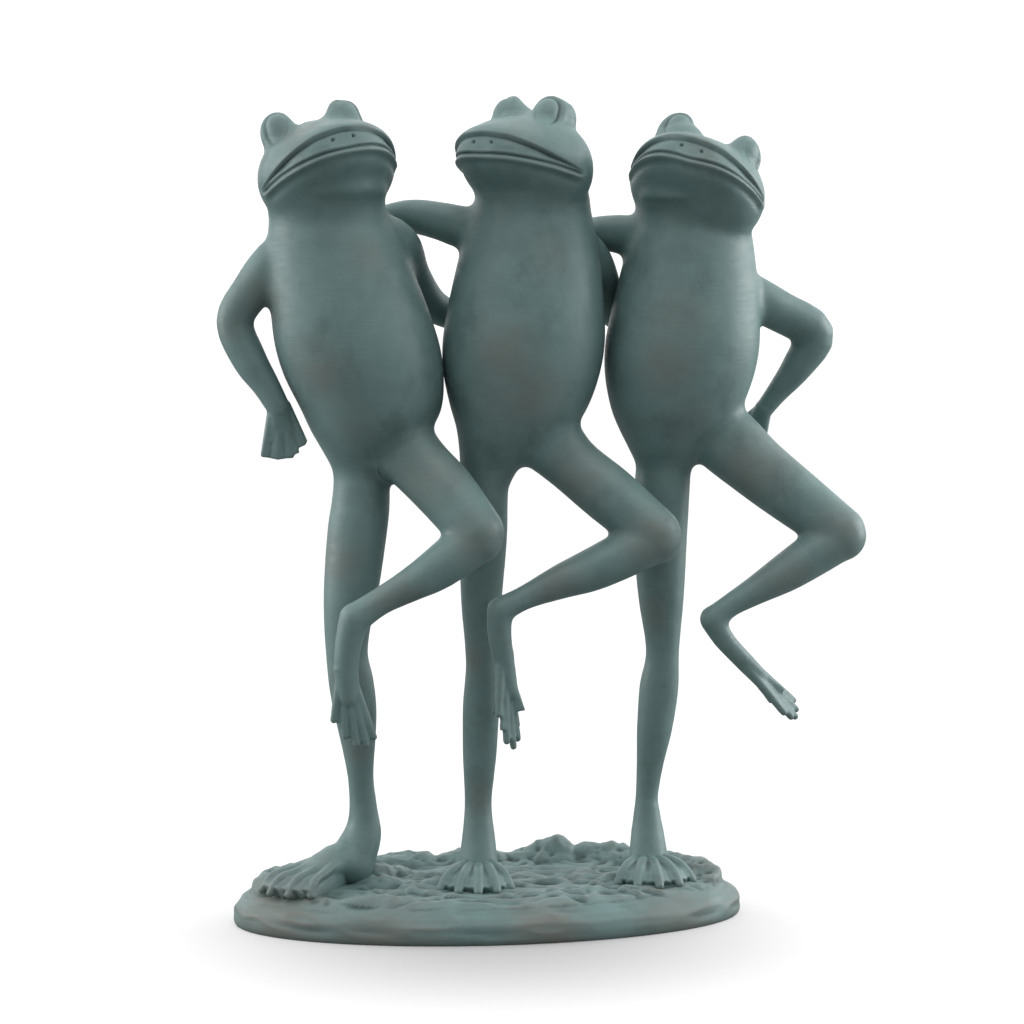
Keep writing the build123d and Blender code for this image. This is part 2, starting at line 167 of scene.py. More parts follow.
def readSkin(mesh):
    co = np.empty(len(mesh.vertices) * 3, np.float32)
    mesh.vertices.foreach_get("co", co)
    edges = np.empty(len(mesh.edges) * 2, np.int32)
    mesh.edges.foreach_get("vertices", edges)
    mesh.calc_loop_triangles()
    tris = np.empty(len(mesh.loop_triangles) * 3, np.int32)
    mesh.loop_triangles.foreach_get("vertices", tris)
    return {"mesh": mesh, "co": co.reshape(-1, 3).astype(float), "edges": edges.reshape(-1, 2),
            "tris": tris.reshape(-1, 3)}


def writeSkin(skin):
    skin["mesh"].vertices.foreach_set("co", skin["co"].astype(np.float32).ravel())
    skin["mesh"].update()
    return skin["mesh"]


def gather(index, values, count):
    return np.stack([np.bincount(index, values[:, k], count) for k in range(3)], 1)


def normalsOf(skin):
    co, tris = skin["co"], skin["tris"]
    facing = np.cross(co[tris[:, 1]] - co[tris[:, 0]], co[tris[:, 2]] - co[tris[:, 0]])
    total = sum(gather(tris[:, k], facing, len(co)) for k in range(3))
    return total / np.maximum(np.linalg.norm(total, axis=1, keepdims=True), 1e-9)


def neighbourMean(skin, co):
    a, b = skin["edges"][:, 0], skin["edges"][:, 1]
    if "count" not in skin:
        skin["count"] = np.bincount(np.concatenate([a, b]), minlength=len(co))[:, None]
    total = gather(a, co[b], len(co)) + gather(b, co[a], len(co))
    return total / np.maximum(skin["count"], 1)


def relax(skin, rounds, share=0.5):
    for _ in range(rounds):
        skin["co"] += (neighbourMean(skin, skin["co"]) - skin["co"]) * share


def fillCreases(skin, rounds, weight=None):
    # only hollows are filled, so limbs keep their thickness; a hollow this deep gets the full share
    deep, full = 0.03, 0.6
    for _ in range(rounds):
        step = neighbourMean(skin, skin["co"]) - skin["co"]
        rise = np.einsum("ij,ij->i", step, normalsOf(skin))
        gain = np.clip(rise / deep, 0, 1) * full
        if weight is not None:
            gain = gain * weight
        skin["co"] += step * gain[:, None]


def bell(value, width):
    return np.exp(-(value / width) ** 2)


def nearness(co, spots, fade=0.5):
    # 1 near each spot, fading to 0 at 1.5 times its radius
    weight = np.zeros(len(co))
    for x, y, z, radius in spots:
        away = np.linalg.norm(co - (x, y, z), axis=1) / radius
        weight = np.maximum(weight, np.clip((1.5 - away) / fade, 0, 1))
    return weight


def carve(skin, path, height, width):
    # raises (or with a negative height cuts) the skin along a line that fades in and out at its ends
    line = np.array(through(path, 4))
    co = skin["co"]
    reach = 3.0 * width
    low, high = line.min(0) - reach, line.max(0) + reach
    near = np.nonzero(((co > low) & (co < high)).all(1))[0]
    if not len(near):
        return
    points = co[near]
    best = np.full(len(near), 1e9)
    where = np.zeros(len(near))
    for i, (a, b) in enumerate(zip(line, line[1:])):
        span = b - a
        t = np.clip((points - a) @ span / max(span @ span, 1e-9), 0, 1)
        away = np.linalg.norm(points - (a + t[:, None] * span), axis=1)
        closer = away < best
        best[closer] = away[closer]
        where[closer] = (i + t[closer]) / (len(line) - 1)
    lift = height * bell(best, width) * np.clip(np.minimum(where, 1 - where) * 6, 0, 1) ** 0.5
    co[near] += normalsOf(skin)[near] * lift[:, None]


def wholeOf(bm):
    return bm.verts[:] + bm.edges[:] + bm.faces[:]


def closeRims(bm):
    rim = [edge for edge in bm.edges if edge.is_boundary]
    for edge in rim:
        edge.smooth = False
    return bmesh.ops.holes_fill(bm, edges=rim, sides=0)["faces"] if rim else []


def crop(bm, low, high):
    # keeps what lies in a box, closed where it is cut
    for axis in range(3):
        for side, bound in ((-1, low[axis]), (1, high[axis])):
            at, facing = Vector((0, 0, 0)), Vector((0, 0, 0))
            at[axis], facing[axis] = bound, side
            bmesh.ops.bisect_plane(bm, geom=wholeOf(bm), plane_co=at, plane_no=facing, clear_outer=True)
            closeRims(bm)


def markCut(bm, faces, at, facing, cut):
    geom = faces + list({edge for face in faces for edge in face.edges})
    geom += list({vert for face in faces for vert in face.verts})
    made = bmesh.ops.bisect_plane(bm, geom=geom, plane_co=at, plane_no=facing)
    for item in made["geom_cut"]:
        if isinstance(item, bmesh.types.BMEdge):
            item[cut] = 1


def cutContour(bm, cut, outside, level, spots):
    # a seam where a limb stands out of the torso: the skin is laid out by its height, cut and put back
    home = bm.verts.layers.float_vector.new("home")
    co = np.array([vert.co for vert in bm.verts])
    heights, across = outside(co)
    near = np.zeros(len(co), bool)
    for spot, side, least in spots:
        near |= (nearness(co, [spot]) > 0.5) & (across * side > least)
    for vert, height in zip(bm.verts, heights):
        vert[home] = vert.co
        vert.co.x = height
    faces = [face for face in bm.faces if all(near[vert.index] for vert in face.verts)
             and min(vert.co.x for vert in face.verts) < level < max(vert.co.x for vert in face.verts)]
    markCut(bm, faces, Vector((level, 0, 0)), Vector((1, 0, 0)), cut)
    for vert in bm.verts:
        vert.co = vert[home]


def keepAround(bm, cut, seed):
    # drops all that the seams part from the seed's side, then closes the rims
    seed = Vector(seed)
    start = min(bm.faces, key=lambda face: (face.calc_center_median() - seed).length_squared)
    found = {start}
    front = [start]
    while front:
        for edge in front.pop().edges:
            if not edge[cut]:
                fresh = [face for face in edge.link_faces if face not in found]
                found.update(fresh)
                front += fresh
    bmesh.ops.delete(bm, geom=[face for face in bm.faces if face not in found], context="FACES")
    for face in closeRims(bm):
        face.smooth = False


# The frogs

# Limbs have x, y, z and a radius at each station. Lids are balls in the head's own frame, with half-sizes
frogs = {
    "left": {
        "hip": (-62.2, 13.7), "pelvis": -57, "neck": (-79, 354, 28.6), "belly": 40.1, "depth": 5,
        "head": (-77.5, -6, 368.5), "turn": (9, 18, -12), "eyes": (-1.3, 16.4),
        "brow": (22, 10, 28.2), "lids": [(9, 7, 19, 10, 11, 10.5), (17.4, 5, 26.8, 6.5, 8, 8)],
        "standingLeg": [(-61.9, 5, 218, 13.8), (-62.6, 4.5, 206, 14.4), (-64.5, 4, 192, 14.7),
            (-67.6, 3, 165, 13.6), (-69.6, 2.5, 147, 11.6), (-69.8, 2.5, 132, 10.4),
            (-67.8, 3.5, 119, 11.2), (-65.8, 4.5, 105, 10.8), (-64.5, 5, 92, 9.2), (-63.7, 5, 80, 7.5),
            (-63, 5, 69, 6.5), (-61.8, 5.5, 54, 7.2), (-62.4, 5, 42, 9.6), (-68.5, 1.5, 29, 11.6)],
        "thigh": [(-60, 4, 253, 14), (-47, -1, 240, 17.3), (-34.5, -8, 226, 15.4), (-22, -16, 212.5, 15),
            (-9, -27, 195, 13.2)],
        "shin": [(-9, -27, 192.5, 12.2), (-28, -29, 178.5, 10.6), (-43, -30, 170, 8.2),
            (-57, -30, 162.5, 6.8), (-69, -30, 154.5, 7.6)],
        "raisedFoot": [(-69, -30, 155, 7.6), (-72, -29, 142, 6.6), (-73, -28, 128, 6), (-72, -27, 116, 5)],
        "raisedToes": [(-79, -26, 105), (-73.5, -26.5, 97), (-68, -26.5, 93), (-63.2, -26, 92.5),
            (-59.5, -25, 96)],
        "heel": (-66.5, 5.5, 8), "instep": (-76, -3, 32, 8.2),
        "toes": [(-110, -6), (-113.5, -14), (-110, -22), (-101.5, -27.5), (-91, -30)],
    },
    "middle": {
        "hip": (-1.2, 11.8), "pelvis": 15.5, "neck": (22.5, 358, 27.3), "belly": 39.9, "depth": 5,
        "head": (15.5, -3, 371), "turn": (-43, 10, 1), "eyes": (-1.3, 11.7),
        "brow": (11, 9, 26.5), "lids": [(14.6, 10, 24.5, 6.5, 8, 9.5), (-9, 9, 21.5, 8, 9, 10)],
        "standingLeg": [(-1, 5, 218, 11.8), (-1.6, 4.5, 206, 11.7), (-2.2, 4, 188, 11.9),
            (-3.2, 3, 158, 10.2), (-3, 2, 128, 8.2), (-3.3, 4, 106, 9.2), (-3.8, 5, 84, 8.7),
            (-4.2, 5, 72, 7.9), (-4.6, 5, 59, 6.9), (-4.7, 4.5, 50, 7.2), (-4.8, 2.5, 38, 8.6),
            (-5.5, -1, 26, 10)],
        "thigh": [(11, 4, 254, 14), (24.5, 0, 243, 18), (40, -6, 226.5, 14.2), (58, -14, 211, 14.4),
            (78.5, -24, 193, 13)],
        "shin": [(79, -24, 190.5, 12.2), (50, -25.5, 177, 10.8), (32, -26.5, 170.5, 8.6), (14, -27, 163, 6),
            (2, -27, 157, 6.6)],
        "raisedFoot": [(2, -27, 157.5, 6.6), (1.8, -26, 146, 6), (4, -25, 132, 5.4), (7, -24, 117, 4.6)],
        "raisedToes": [(0.5, -31.5, 107), (5, -28.5, 93), (9, -23.5, 89.5), (11.8, -18.5, 92.5),
            (12, -14, 98.5)],
        "heel": (-4.8, 5, 9), "instep": (-6, -6, 24, 5.4),
        "toes": [(-27, -23), (-19, -30), (-9.5, -32.5), (0, -30.5), (7.5, -24)],
    },
    "right": {
        "hip": (88.2, 13.8), "pelvis": 94.5, "neck": (103.4, 353, 28), "belly": 38.3, "depth": 8,
        "head": (101.5, -3, 361), "turn": (-18, 24, 19), "eyes": (-3, 18),
        "skew": 0.25, "looking": (-8, 48), "brow": (10, 9, 24),
        "lids": [(-15.8, 3, 17.5, 13.5, 13, 14), (-20.3, 4.5, 25, 8.8, 9.5, 11.4)],
        "standingLeg": [(88.3, 8, 218, 13.9), (87.6, 7.5, 204, 13.8), (87, 7, 186, 13.4),
            (87.4, 6, 158, 11.5), (88.1, 5, 131, 8.4), (86.6, 6, 113, 9.9), (84.4, 6, 92, 9),
            (82.4, 6, 76, 7.1), (80.7, 6, 59, 5.8), (80.5, 5.5, 51, 6.5), (80.6, 3.5, 38, 8.6),
            (80.5, 0, 26, 10)],
        "thigh": [(103, 5, 250, 14), (117, 1, 238, 17.2), (132.5, -6, 223.5, 15.7), (149, -13, 210, 14.6),
            (171, -24, 192.5, 12.6)],
        "shin": [(171.5, -24, 190.5, 12), (146, -26, 174.5, 10), (129, -27, 165, 7.4), (115, -27, 157, 5.8),
            (107, -27, 150.5, 6.6)],
        "raisedFoot": [(107, -27, 151, 6.6), (112, -26.5, 141.5, 5.4), (122, -25, 130.5, 4.8),
            (131, -24, 122, 4.2)],
        "raisedToes": [(142.5, -28.5, 104), (146.6, -26.5, 101.5), (149.4, -23, 101), (150.6, -19.5, 104),
            (150, -16, 108)],
        "heel": (80.5, 6, 9), "instep": (80.5, -5, 24, 5.4),
        "toes": [(61.5, -21), (70, -28), (80.5, -31), (91, -27.5), (99, -19.5)],
    },
}

arms = {
    "left_frog_outer_arm": {
        "chain": [(-88, 5, 337, 10), (-103, 5, 325, 11.4), (-115, 6, 311, 9.9), (-123.2, 7.5, 296, 9.2),
            (-116.5, 4.5, 278, 8.6), (-108.5, 0.5, 265, 6.8), (-102.5, -2, 254, 5.8)],
        "fingers": [(-110.5, -3.5, 232), (-103.5, -5, 230.8), (-97, -5, 231.5), (-90.5, -4, 238.5)]},
    "left_frog_inner_arm": {
        "chain": [(-58, 9, 341, 10), (-43.5, 12, 333, 11.3), (-34.5, 24, 318, 8.8), (-24, 35.5, 303, 8.4),
            (-10, 39.5, 296, 7), (3, 40.5, 293, 5.4)],
        "fingers": [(20, 37.6, 302), (24.5, 37.6, 295), (23.5, 38, 287.5), (16.5, 38.4, 281)]},
    "middle_frog_left_arm": {
        "chain": [(7, 8, 341, 10), (-7, 12, 340.5, 10.8), (-22, 22, 344.5, 9.4), (-35, 31.5, 346.5, 8.4),
            (-50, 36, 344, 7), (-62, 37, 340, 5.4)],
        "fingers": [(-79, 31.4, 346), (-84.5, 31.8, 338), (-82.5, 33.4, 330), (-75.5, 35.2, 324)]},
    "middle_frog_right_arm": {
        "chain": [(38, 8, 337, 10), (51, 12, 327, 10.6), (60, 22, 314, 8.8), (66, 35.5, 300, 7.8),
            (76, 41, 294, 6.6), (88, 42.8, 292, 5.2)],
        "fingers": [(105, 40.2, 300), (109.5, 40, 293), (108, 40.6, 285.5), (101, 41.4, 279.5)]},
    "right_frog_inner_arm": {
        "chain": [(90, 11, 337, 10), (77, 14, 336.5, 10.6), (64, 24, 338, 9.2), (54, 32.5, 337, 8),
            (42, 36.5, 332, 6.6), (31, 38, 327, 5.4)],
        "fingers": [(13.5, 33.4, 331), (9, 33.6, 323.5), (11, 34.8, 316.5), (17.5, 36.4, 311)]},
    "right_frog_outer_arm": {
        "chain": [(116, 9, 314, 12), (131, 10, 307.5, 11.6), (148.5, 12.5, 299, 10.4),
            (166.5, 16, 288, 10.2), (158.5, 18, 271.5, 8), (148.5, 20.5, 258, 5.6), (142, 22.5, 249, 4.8)],
        "fingers": [(142, 23, 233), (136.5, 26.5, 229), (130.5, 30.5, 231), (126, 34, 237)]},
}

bodySizes = {
    "hipSeam": 214, "ankleSeam": 63, "pelvisTop": 252, "depth": 0.88, "neckDepth": 0.92, "push": 3,
    "sole": 18, "limbSeam": 1.5, "neckAhead": 2,
    "profile": [  # share of the way from hip to neck, share of the belly's half-width
        (0.066, 0.37), (0.132, 0.53), (0.207, 0.73), (0.283, 0.86), (0.396, 0.97), (0.509, 1.00),
        (0.641, 0.95), (0.773, 0.87), (0.868, 0.80), (0.943, 0.73)],
}

headSizes = {
    "profile": [  # along the head: y, half-width, half-height, lift
        (-35, 8.5, 5.5, 4.5), (-31, 16.5, 9.5, 4), (-22, 24.5, 14, 3.5), (-8, 31.5, 20.5, 3),
        (6, 34.5, 25.5, 1.5), (19, 30, 23, -1), (30, 15, 13, -5)],
    "throat": (5, -1, 0, -1),  # set back and up, and more half-width and half-depth than the neck
    "core": (4, 4, -2, -3),
    "eyeBack": 5, "eyeLift": 22.5, "mound": (9, 10.5, 13),
}


def torsoLine(frog):
    # rings from hip to neck and on into the head: x, y, z, half-width, half-depth
    hipX, hipRadius = frog["hip"]
    neckX, neckZ, neckRadius = frog["neck"]
    hip, pelvisTop = bodySizes["hipSeam"], bodySizes["pelvisTop"]
    stations = [(hipX, frog["depth"], hip, hipRadius, hipRadius)]
    for share, width in bodySizes["profile"]:
        z = hip + share * (neckZ - hip)
        if z >= pelvisTop:
            x = frog["pelvis"] + (neckX - frog["pelvis"]) * (z - pelvisTop) / (neckZ - pelvisTop)
        else:
            shift = math.sin(math.pi / 2 * (z - hip) / (pelvisTop - hip)) ** 2
            x = hipX + (frog["pelvis"] - hipX) * shift
        radius = frog["belly"] * width
        y = frog["depth"] - bodySizes["push"] * math.sin(math.pi * share)
        stations.append((x, y, z, radius, radius * bodySizes["depth"]))
    headX, headY, headZ = frog["head"]
    neckY = frog["depth"] - bodySizes["neckAhead"]
    stations.append((neckX, neckY, neckZ, neckRadius, neckRadius * bodySizes["neckDepth"]))
    for x, z, part in (((neckX + headX) / 2, (neckZ + headZ) / 2, "throat"), (headX, headZ, "core")):
        back, up, wide, deep = headSizes[part]
        stations.append((x, headY + back, z + up, neckRadius + wide, neckRadius + deep))
    return through(stations, 4)


def torso(frog):
    bm = bmesh.new()
    sides = roundness["body"]
    closeRings(bm, [ringAt(bm, Vector(s[:3]), upward, s[3], s[4], backward, sides) for s in torsoLine(frog)])
    return bm


def outsideTorso(frog):
    # how far points stand out of the torso, and their place across it, -1 to 1
    line = np.array(torsoLine(frog))

    def height(co):
        x, y, wide, deep = [np.interp(co[:, 2], line[:, 2], line[:, k]) for k in (0, 1, 3, 4)]
        share = np.hypot((co[:, 0] - x) / wide, (co[:, 1] - y) / deep)
        return (share - 1) * np.sqrt(wide * deep), (co[:, 0] - x) / wide

    return height


def headPlace(frog):
    turn, tilt, roll = [math.radians(angle) for angle in frog["turn"]]
    return (Matrix.Translation(frog["head"]) @ Matrix.Rotation(turn, 4, "Z")
            @ Matrix.Rotation(-tilt, 4, "X") @ Matrix.Rotation(roll, 4, "Y"))


def skull(frog):
    bm = bmesh.new()
    line = through(headSizes["profile"], 5)
    sides = roundness["body"]
    rings = [ringAt(bm, Vector((0, y, lift)), backward, w, h, upward, sides) for y, w, h, lift in line]
    closeRings(bm, rings)
    shift, spread = frog["eyes"]
    eyeY, eyeZ = headSizes["eyeBack"], headSizes["eyeLift"]
    for side in (-1, 1):
        ball(bm, Vector((shift + side * spread, eyeY, eyeZ)), headSizes["mound"])
    ball(bm, Vector((shift, eyeY, 0)), frog["brow"])
    for x, y, z, wide, long, high in frog["lids"]:
        ball(bm, Vector((x, y, z)), (wide, long, high))
    bmesh.ops.transform(bm, matrix=headPlace(frog), verts=bm.verts)
    return bm


heelSizes = {
    "rise": 0.6, "toeLift": 2.0, "steps": (0.0, 0.15, 0.3, 0.45, 0.6),
    "wide": 1.15, "widening": 0.4, "high": 0.9, "thinning": 0.75,
}


def heelMass(frog):
    # the heel, and the instep sloping from the ankle towards the toes
    bm = bmesh.new()
    heelX, heelY, heelRadius = frog["heel"]
    ball(bm, Vector((heelX, heelY, bodySizes["sole"] + heelRadius * heelSizes["rise"])), (heelRadius,) * 3)
    start, thick = np.array(frog["instep"][:3]), frog["instep"][3]
    toes = np.array([(x, y, bodySizes["sole"] + heelSizes["toeLift"]) for x, y in frog["toes"]])
    for share in heelSizes["steps"]:
        wide = thick * heelSizes["wide"] * (1 + heelSizes["widening"] * share)
        high = thick * heelSizes["high"] * (1 - heelSizes["thinning"] * share)
        ball(bm, Vector(start + (toes.mean(0) - start) * share), (wide, wide, high))
    return bm


massSizes = {
    "voxel": 1.4, "kneeExtra": 0.6, "creases": 10, "jointCreases": 45,
    "hipHeight": 220, "thigh": 30, "hip": 26, "arm": 22, "instep": 18,  # where creases fill up
}


def armsOf(name):
    return {armName: arm for armName, arm in arms.items() if armName.startswith(name)}


def frogMass(name, frog):
    # one whole frog without fingers and toes, its limbs melted softly into the body
    bm = bmesh.new()
    chains = [arm["chain"] for arm in armsOf(name).values()]
    limbs = [frog[limb] for limb in ("standingLeg", "thigh", "shin", "raisedFoot")]
    for part in [torso(frog), skull(frog)] + [tube(line) for line in limbs + chains] + [heelMass(frog)]:
        joinInto(bm, part)
    knee = frog["shin"][0]
    ball(bm, Vector(knee[:3]), [knee[3] + massSizes["kneeExtra"]] * 3)
    skin = readSkin(remesh(bm, massSizes["voxel"]))
    relax(skin, 2)
    spots = [(*frog["thigh"][1][:3], massSizes["thigh"]), (*frog["instep"][:3], massSizes["instep"]),
             (frog["hip"][0], frog["depth"], massSizes["hipHeight"], massSizes["hip"])]
    spots += [(*chain[1][:3], massSizes["arm"]) for chain in chains]
    fillCreases(skin, massSizes["creases"])
    fillCreases(skin, massSizes["jointCreases"], nearness(skin["co"], spots))
    relax(skin, 2)
    return writeSkin(skin)


# Digits

def digits(root, tips, look, level, rise=((0, 0), (1, 0))):
    # toes or fingers that fan out from one root, with a web that stops short of the tips
    # rise is how far a digit arches up at shares of its length
    parts = []
    lines = []

    def along(start, end, share):
        lift = np.interp(share, [s for s, _ in rise], [h for _, h in rise])
        return start + (end - start) * share + (0, 0, lift)

    def stationAt(start, end, share):
        return (*along(start, end, share), look["root"] + (look["tip"] - look["root"]) * share)

    middle = np.mean(np.array(tips, float), axis=0)
    for tip in tips:
        end = np.array(tip, float)
        start = np.array(root, float) + (end - middle) * look["spread"]
        line = [stationAt(start, end, share) for share in (0, 0.3, 0.6, 0.85, 1.0)]
        parts.append(tube(line, fine=3, sides=roundness["digit"]))
        lines.append([along(start, end, look["reach"] * share) for share in (0.0, 0.3, 0.55, 0.8, 1.0)])
    for one, two in zip(lines, lines[1:]):
        for a, b in sagging(one, two, look.get("sag", 0)):
            parts.append(webBetween(a, b, look["web"], level, look.get("ground")))
    return parts


def palm(root, tips, radius, look):
    # a limb's end that widens and thins out into its web
    bm = bmesh.new()
    root, tips = np.array(root, float), np.array(tips, float)
    run = tips.mean(0) - root
    half = np.linalg.norm(tips[-1] - tips[0]) / 2
    ahead = Vector(run).normalized()
    rings = []
    for share, thin in palmThinning:
        fan = half * (look["spread"] + (1 - look["spread"]) * share)
        wide, deep = max(radius * (1 - 0.25 * max(share, 0)), fan), max(radius * thin, look["web"])
        rings.append(ringAt(bm, Vector(root + run * share), ahead, wide, deep, backward, roundness["palm"]))
    closeRings(bm, rings)
    return bm


def sagging(one, two, sag):
    # the web as two strips that hang lower along their shared middle line
    middle = [(a + b) / 2 - (0, 0, sag * share) for a, b, share in zip(one, two, (0, 0.4, 0.8, 1, 1))]
    return ((one, middle), (middle, two))


# share of the way to the tips, share of the limb's radius
palmThinning = ((-0.12, 0.98), (0.08, 0.84), (0.24, 0.64), (0.4, 0.47), (0.56, 0.34), (0.72, 0.25))
digitLooks = {
    "paddle": {"root": 2.4, "tip": 1.45, "web": 1.35, "reach": 1.05, "spread": 0.34},
    "hand": {"root": 2.6, "tip": 1.8, "web": 1.3, "reach": 0.86, "spread": 0.2},
    "raised": {"root": 2.8, "tip": 1.8, "web": 1.3, "reach": 0.94, "spread": 0.2},
    "left": {"root": 2.9, "tip": 2, "web": 1.1, "reach": 0.95, "sag": 0.5, "spread": 0.22, "ground": 15},
    "middle": {"root": 3.1, "tip": 2.3, "web": 0.8, "reach": 0.88, "sag": 0.6, "spread": 0.3, "ground": 15},
}
toeRise = {
    "left": ((0, 2), (0.5, 3.2), (0.9, 5.4), (1, 0.4)),
    "middle": ((0, 3), (0.4, 5.2), (0.75, 4.4), (1, -0.2)),
}
for looks in (digitLooks, toeRise):
    looks["right"] = looks["middle"]


def handParts(name, arm):
    look = digitLooks["paddle" if name == "left_frog_outer_arm" else "hand"]
    *wrist, radius = arm["chain"][-1]
    return digits(wrist, arm["fingers"], look, backward) + [palm(wrist, arm["fingers"], radius, look)]


def raisedFootParts(frog):
    look, toes = digitLooks["raised"], frog["raisedToes"]
    *ankle, radius = frog["raisedFoot"][-2]
    return digits(ankle, toes, look, backward) + [palm(ankle, toes, radius, look)]


def standingFootParts(name, frog):
    look = digitLooks[name]
    tips = [(x, y, bodySizes["sole"] + look["tip"] * 0.8) for x, y in frog["toes"]]
    return digits(frog["instep"][:3], tips, look, upward, toeRise[name])


# Cutting the pieces out of the frog

pieceSizes = {"margin": 9.0, "smoothing": 4, "creases": 4}


def takePiece(mass, node, voxel, seams, seed, extras, finish):
    # the frog's skin around one piece, refined, given its digits and carving, and cut at its seams
    margin = Vector([pieceSizes["margin"]] * 3)
    low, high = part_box(node)
    low, high = low / mm - margin, high / mm + margin
    bm = bmesh.new()
    bm.from_mesh(mass)
    crop(bm, low, high)
    bmesh.ops.subdivide_edges(bm, edges=bm.edges[:], cuts=1, use_grid_fill=True, smooth=1.0)
    for part in extras:
        joinInto(bm, part)
    skin = readSkin(remesh(bm, voxel))
    relax(skin, pieceSizes["smoothing"])
    fillCreases(skin, pieceSizes["creases"])
    if finish:
        finish(skin)
    mesh = writeSkin(skin)
    bm = bmesh.new()
    bm.from_mesh(mesh)
    bpy.data.meshes.remove(mesh)
    cut = bm.edges.layers.int.new("cut")
    for seam in seams:
        seam(bm, cut)
    keepAround(bm, cut, seed)
    return bm


wearSpots = [  # where the patina is rubbed grey: x, y, z, radius
    (-110, -5, 305, 14), (-124, 5, 297, 10), (-90, -32, 270, 18), (-72, -38, 240, 16), (-30, -16, 224, 17),
    (-10, -38, 192, 12), (-50, -35, 166, 12), (-75, -5, 180, 12), (-72, -8, 120, 9), (10, -36, 262, 20),
    (28, -36, 330, 12), (45, -16, 222, 15), (75, -36, 192, 13), (30, -36, 170, 12), (-12, -5, 130, 8),
    (98, -36, 240, 18), (90, -34, 300, 14), (130, -18, 225, 17), (168, -36, 194, 12), (140, -36, 172, 13),
    (80, -4, 150, 8), (-110, -30, 12, 30), (-60, -62, 8, 26), (20, -64, 6, 18), (90, -50, 10, 20),
    (120, 0, 8, 22), (-92, -20, 384, 11), (-66, -22, 386, 9), (100, -28, 376, 9), (12, -26, 384, 9),
    (3, -34, 280, 18), (84, -32, 275, 15), (-60, -30, 330, 10), (-66, -4, 88, 8), (-5, -3, 60, 9),
    (-86, -12, 33, 8),
]
traitSizes = {"rounds": 14, "height": 0.35}  # smoothing of the surroundings, and full height or depth


def surfaceTraits(skin):
    # how far each point stands out from its surroundings, as hollows and edges, and how worn it is
    was = skin["co"].copy()
    relax(skin, traitSizes["rounds"])
    out = np.einsum("ij,ij->i", was - skin["co"], normalsOf(skin)) / traitSizes["height"]
    skin["co"] = was
    return np.clip(-out, 0, 1), np.clip(out, 0, 1), nearness(was, wearSpots, fade=1.0)


def dress(name, bm, slot):
    mesh = meshOf(bm, name)
    skin = readSkin(mesh)
    for trait, values in zip(("hollow", "edge", "worn"), surfaceTraits(skin)):
        layer = mesh.attributes.new(trait, "FLOAT", "POINT")
        layer.data.foreach_set("value", values.astype(np.float32))
    mesh.transform(Matrix.Diagonal((mm, mm, mm, 1)))
    piece = addObject(name, mesh)
    mesh.materials.append(finishes[slot])
    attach(piece, "root")
    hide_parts(name.replace("_skin", ""))
    print(name, len(skin["tris"]), "triangles")


def carveHead(frog, skin):
    # mouth, muzzle, nostrils and eyes, in the head's own frame
    inverse = np.array(headPlace(frog).inverted())
    local = skin["co"] @ inverse[:3, :3].T + inverse[:3, 3]
    x, y, z = local.T
    away = np.abs(np.degrees(np.arctan2(x, muzzle["axis"] - y)))
    rightward = np.maximum(x, 0)
    mouth = np.interp(away, muzzle["angles"], muzzle["mouth"])
    mouth += frog.get("skew", 0.0) * rightward ** 2 / (rightward + muzzle["skewFade"])
    band = np.interp(away, muzzle["angles"], muzzle["band"])
    over = z - mouth
    share = over / band
    front = np.clip((muzzle["corner"] - away) / muzzle["cornerFade"], 0, 1)
    inside = np.clip(share, 0, 1) ** 0.8 * np.clip((1 - share) / 0.14, 0, 1) * (share > 0)
    lift = -muzzle["hollow"] * inside * np.clip(band / 5.0, 0.25, 1)
    past = over - band
    lift += muzzle["visor"] * np.where(past > 0, bell(past, 9.0), bell(past, 0.7)) * np.clip(band / 4.0, 0, 1)
    for height, above, width in muzzle["lips"]:
        lift += height * bell(over - above, width)
    lift *= front
    lift += muzzle["curl"] * bell(away - muzzle["corner"], 3.5) * bell(over + 0.8, 2.2)
    for side in (-1, 1):
        aside, above, width, deep = muzzle["nostril"]
        lift -= deep * bell(np.hypot(x - side * aside, z - above), width) * (y < -20)
    shift, spread = frog["eyes"]
    for side, angle in zip((-1, 1), frog.get("looking", eyes["looking"])):
        angle = math.radians(angle)
        gaze = np.array((side * math.sin(angle), -math.cos(angle), eyes["raised"]))
        gaze /= np.linalg.norm(gaze)
        rel = local - (shift + side * spread, headSizes["eyeBack"], headSizes["eyeLift"] + eyes["lift"])
        top = np.array((0, 0, 1)) - gaze * gaze[2]
        top /= np.linalg.norm(top)
        high = rel @ top
        out = rel @ np.cross(gaze, top) * -side
        seen = np.clip((rel @ gaze + 1.0) / 2.5, 0, 1)
        reach = np.hypot(out, high / np.where(high > 0, eyes["tall"], eyes["deep"])) / eyes["half"]
        strong = np.clip(0.55 + high / 16.0 + out / 10.0, 0.15, 1)
        dome = -eyes["recess"] * np.where(reach < 1, reach ** 3, bell((reach - 1) * eyes["half"], 0.45))
        lid = eyes["lid"] * bell((reach - 1.3) * eyes["half"], 1.5)
        lift += seen * strong * (dome + lid)
    skin["co"] += normalsOf(skin) * lift[:, None]
    relax(skin, 1, 0.3)


